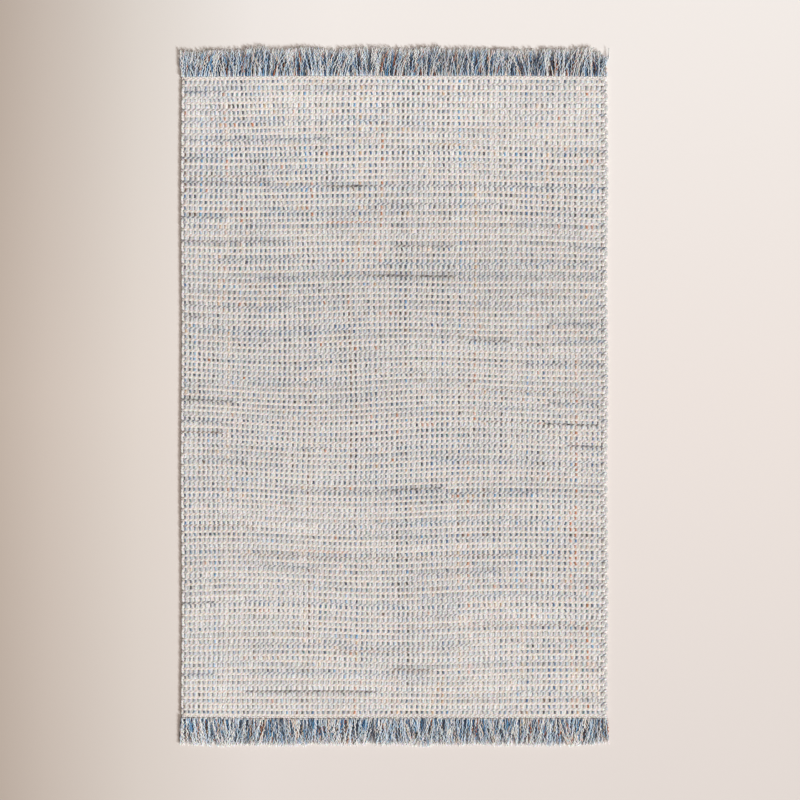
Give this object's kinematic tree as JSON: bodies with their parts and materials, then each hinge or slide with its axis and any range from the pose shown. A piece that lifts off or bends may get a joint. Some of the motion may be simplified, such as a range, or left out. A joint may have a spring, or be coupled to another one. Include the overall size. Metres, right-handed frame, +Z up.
{
  "type": "area rug",
  "caption": "Flat rectangular handwoven wool area rug with weft-ribbed field, twined headings and a loose fringe at each end.",
  "frame": {"origin": "centre of the underside's bounding rectangle, on the floor", "axes": "+Z up out of the walked-on face, +Y along the rug's length, with the warp, +X across it, along the weft"},
  "size_m": [1.527, 2.5166, 0.0115],
  "materials": {
    "field_wool": "matt thick cream wool weft with flecks of grey, blue and rust warp",
    "heading_wool": "matt twined cream wool",
    "fringe_wool": "loose matt warp yarn in navy, slate, pale grey, tan and rust"
  },
  "bodies": {
    "root": {"woven_field": "field_wool", "heading_far": "heading_wool", "heading_near": "heading_wool", "fringe_far": "fringe_wool", "fringe_near": "fringe_wool"}
  },
  "joints": []
}
